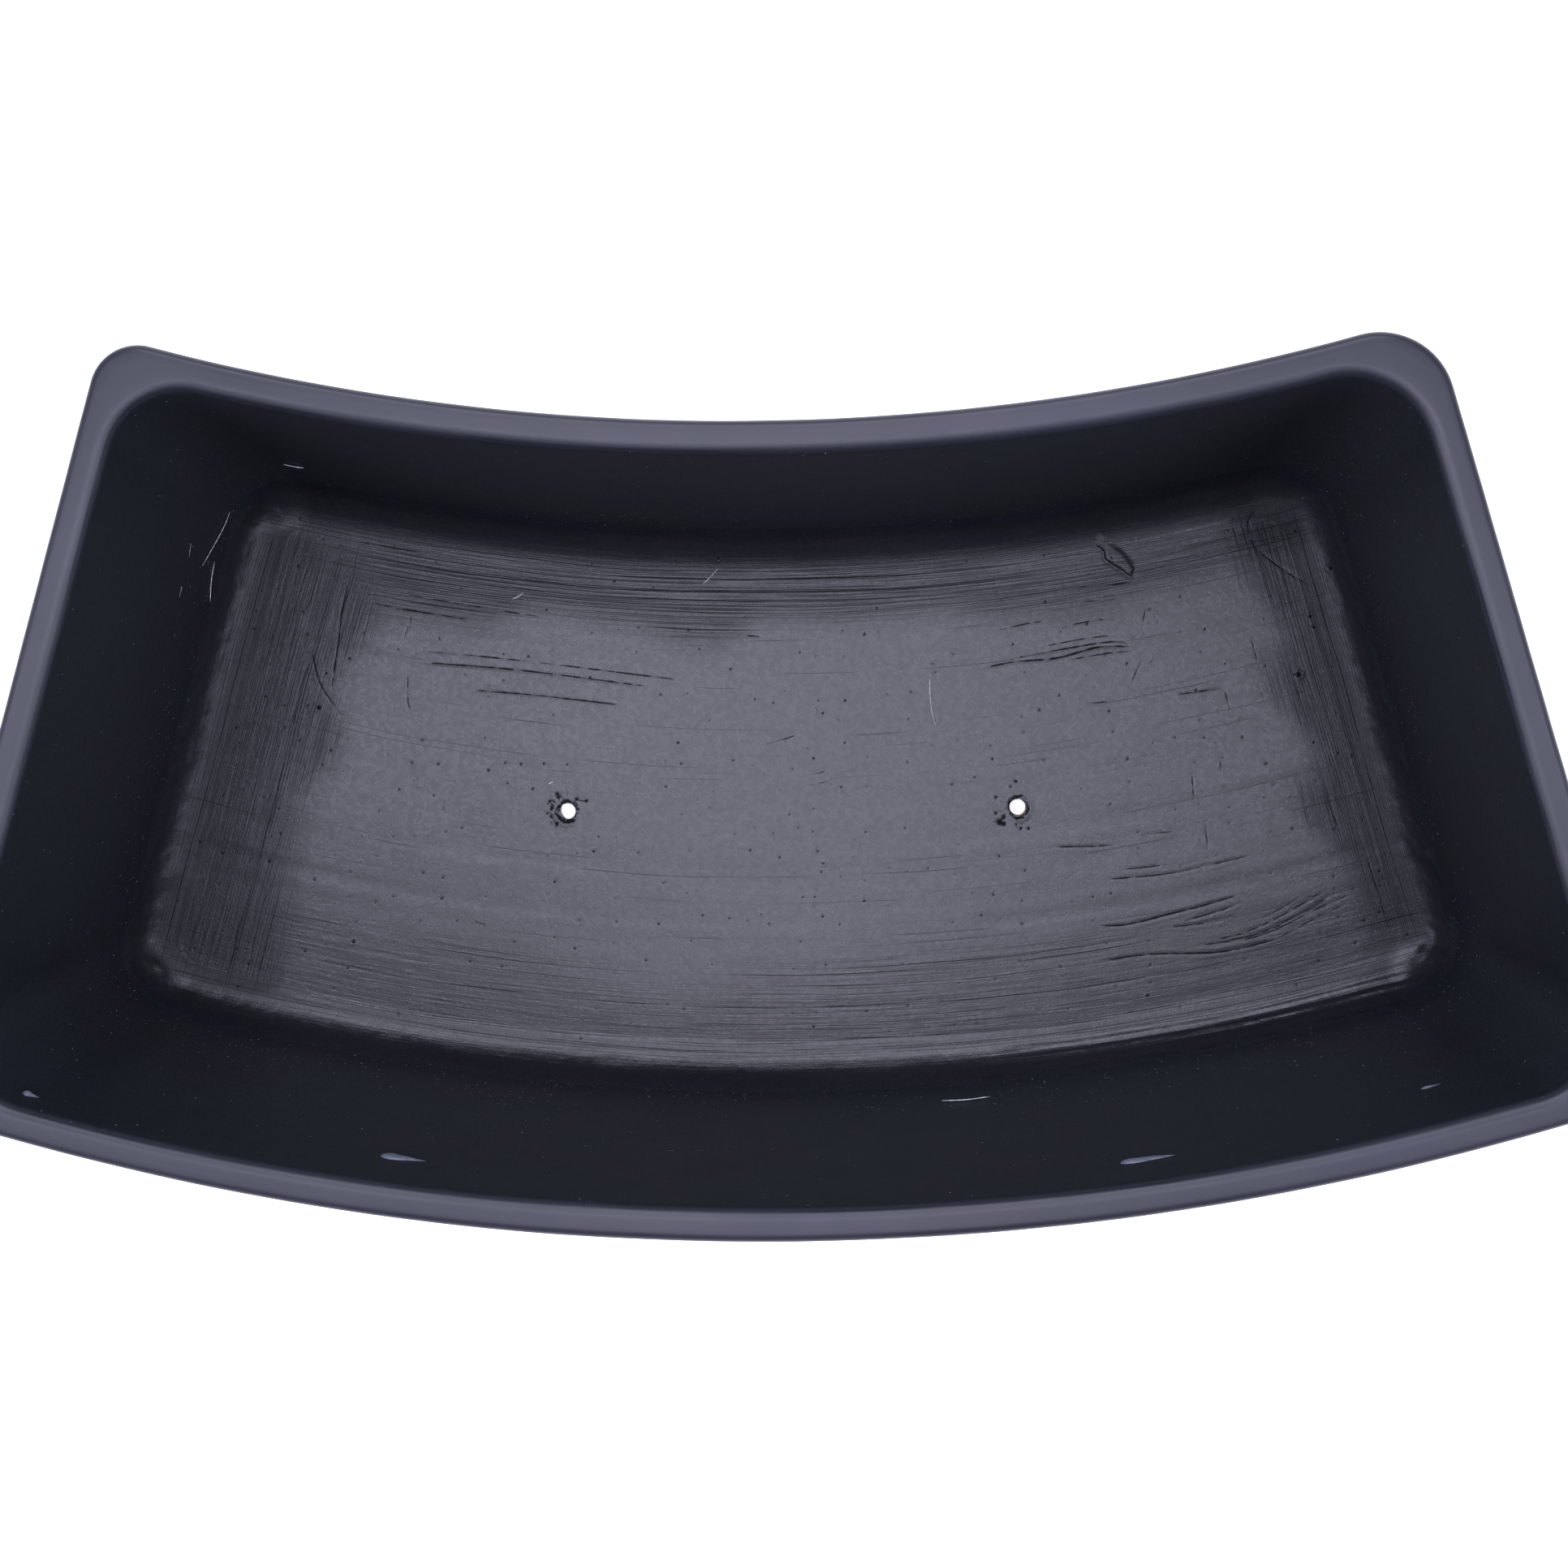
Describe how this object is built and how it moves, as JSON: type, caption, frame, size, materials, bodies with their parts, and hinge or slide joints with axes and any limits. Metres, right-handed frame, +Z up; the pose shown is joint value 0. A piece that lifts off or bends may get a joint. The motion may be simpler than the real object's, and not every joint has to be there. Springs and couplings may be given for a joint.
{
  "type": "curved trough planter",
  "caption": "Bowed trough planter cast in one piece, with a rounded rim, coved floor, brushed sealer layer, drain holes and rubber pads underneath.",
  "frame": {"origin": "centre of the bounding box, on the surface the pads stand on", "axes": "+Z up, +X along the length, -Y towards the convex long side"},
  "size_m": [0.5874, 0.308, 0.188],
  "materials": {
    "cast_shell": "satin sprayed charcoal paint on fibre-reinforced casting, flatter and darker on the inner walls",
    "brushed_sealer": "brushed-on charcoal sealer with bristle streaks, scratches and pits",
    "rubber_pad": "moulded matt rubber"
  },
  "bodies": {
    "root": {"trough_shell": "cast_shell", "floor_sealer_coat": "brushed_sealer", "foot_pad_near_left": "rubber_pad", "foot_pad_near_right": "rubber_pad", "foot_pad_far_left": "rubber_pad", "foot_pad_far_right": "rubber_pad"}
  },
  "joints": []
}
